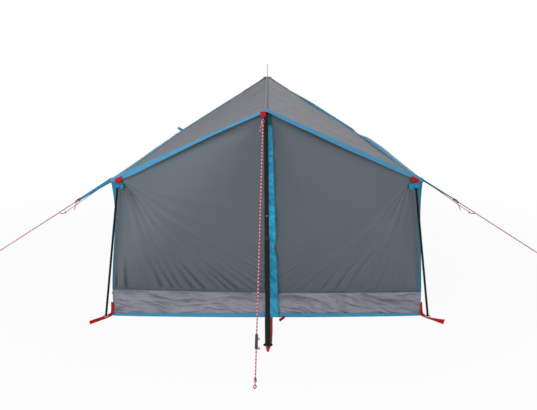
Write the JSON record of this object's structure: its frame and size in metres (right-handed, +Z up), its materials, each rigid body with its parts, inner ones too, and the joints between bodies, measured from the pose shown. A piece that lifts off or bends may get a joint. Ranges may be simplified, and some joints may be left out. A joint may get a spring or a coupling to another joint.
{
  "type": "camping tent",
  "caption": "Ridge tent with an overhanging roof, tub floor, zipped front doors, centre and corner poles, foot straps and taut guy ropes.",
  "frame": {"origin": "on the ground, in the middle of the tent without its guy ropes", "axes": "+Z up, -Y towards the entrance, +Y along the ridge to the rear, +X to the right seen from the entrance"},
  "size_m": [3.6028, 3.6047, 1.1293],
  "materials": {
    "grey_roof_cloth": "mid-grey coated polyester, slight sheen",
    "grey_cap_cloth": "dark grey reinforcement patch of the same cloth",
    "grey_wall_cloth": "dark grey breathable cloth, matt",
    "grey_floor_sheet": "light grey coated floor sheet, slight sheen",
    "blue_trim": "light blue binding tape",
    "teal_cloth": "teal blue coated polyester, slight sheen",
    "red_webbing": "red woven webbing, matt",
    "red_plastic": "moulded red plastic",
    "blue_plastic": "moulded blue plastic",
    "black_plastic": "moulded black plastic",
    "black_pole": "black coated tube, satin",
    "zip_metal": "grey metal",
    "guy_rope": "braided polyester cord, red with white flecks"
  },
  "bodies": {
    "root": {"roof_panel_left": "grey_roof_cloth", "roof_panel_right": "grey_roof_cloth", "eave_trim_left": "blue_trim", "eave_trim_right": "blue_trim", "front_edge_trim": "blue_trim", "rear_edge_trim": "blue_trim", "rear_peak_cap": "grey_cap_cloth", "tub_floor": "grey_floor_sheet", "floor_binding": "blue_trim", "rear_wall": "grey_wall_cloth", "side_wall_left": "teal_cloth", "side_wall_right": "teal_cloth", "front_wall_left": "grey_wall_cloth", "front_wall_right": "grey_wall_cloth", "storm_flap_tail": "teal_cloth", "front_pole_tip": "red_plastic", "front_pole_disc": "black_plastic", "front_pole_lower": "black_pole", "front_pole_upper": "black_pole", "rear_pole_tip": "red_plastic", "rear_pole_disc": "black_plastic", "rear_pole_lower": "black_pole", "rear_pole_upper": "black_pole", "front_pole_strap": "red_webbing", "rear_pole_strap": "red_webbing", "front_guy_rope": "guy_rope", "rear_guy_rope": "guy_rope", "front_peak_tab": "red_webbing", "corner_pole_front_left": "black_pole", "corner_pole_front_right": "black_pole", "corner_pole_rear_left": "black_pole", "corner_pole_rear_right": "black_pole", "corner_hook_front_left": "blue_plastic", "corner_hook_front_right": "blue_plastic", "corner_hook_rear_left": "blue_plastic", "corner_hook_rear_right": "blue_plastic", "corner_tab_front_left": "red_webbing", "corner_tab_front_right": "red_webbing", "corner_tab_rear_left": "red_webbing", "corner_tab_rear_right": "red_webbing", "foot_strap_front_left": "red_webbing", "foot_strap_front_right": "red_webbing", "foot_strap_rear_left": "red_webbing", "foot_strap_rear_right": "red_webbing", "guy_strap_front_left": "blue_trim", "guy_strap_front_right": "blue_trim", "guy_strap_rear_left": "blue_trim", "guy_strap_rear_right": "blue_trim", "guy_rope_front_left": "guy_rope", "guy_rope_front_right": "guy_rope", "guy_rope_rear_left": "guy_rope", "guy_rope_rear_right": "guy_rope"},
    "door_left": {"door_left": "grey_wall_cloth"},
    "door_right": {"door_right": "grey_wall_cloth", "zip_chain": "black_plastic"},
    "storm_flap": {"storm_flap": "teal_cloth"},
    "zip_slider": {"zip_slider": "zip_metal"},
    "zip_pull": {"zip_pull": "zip_metal"},
    "front_guy_tensioner": {"front_guy_tensioner": "black_plastic"},
    "rear_guy_tensioner": {"rear_guy_tensioner": "black_plastic"}
  },
  "joints": [
    {"name": "door_left_hinge", "type": "hinge", "parent": "root", "child": "door_left", "pos_m": [-0.7635, -1, 0.1362], "axis": [-0.6047, 0.3184, -0.7301], "range_deg": [0, 120]},
    {"name": "door_right_hinge", "type": "hinge", "parent": "root", "child": "door_right", "pos_m": [0.7635, -1, 0.1362], "axis": [-0.6047, -0.3184, 0.7301], "range_deg": [0, 120]},
    {"name": "storm_flap_hinge", "type": "hinge", "parent": "door_right", "child": "storm_flap", "pos_m": [0.0529, -1.00626, 0.13791], "axis": [-0.0289, -0.3995, 0.9163], "range_deg": [0, 120]},
    {"name": "zip_travel", "type": "slide", "parent": "door_right", "child": "zip_slider", "axis": [0, -0.3997, 0.9166], "range_m": [0, 0.88]},
    {"name": "zip_pull_hinge", "type": "hinge", "parent": "zip_slider", "child": "zip_pull", "pos_m": [-0.0025, -1.01883, 0.16137], "axis": [-1, 0, 0], "range_deg": [-20, 150]},
    {"name": "front_guy_adjust", "type": "slide", "parent": "root", "child": "front_guy_tensioner", "axis": [0.0278, 0.3478, 0.9371], "range_m": [-0.1, 0.7]},
    {"name": "rear_guy_adjust", "type": "slide", "parent": "root", "child": "rear_guy_tensioner", "axis": [0, -0.2813, 0.9596], "range_m": [-0.1, 0.7]}
  ]
}
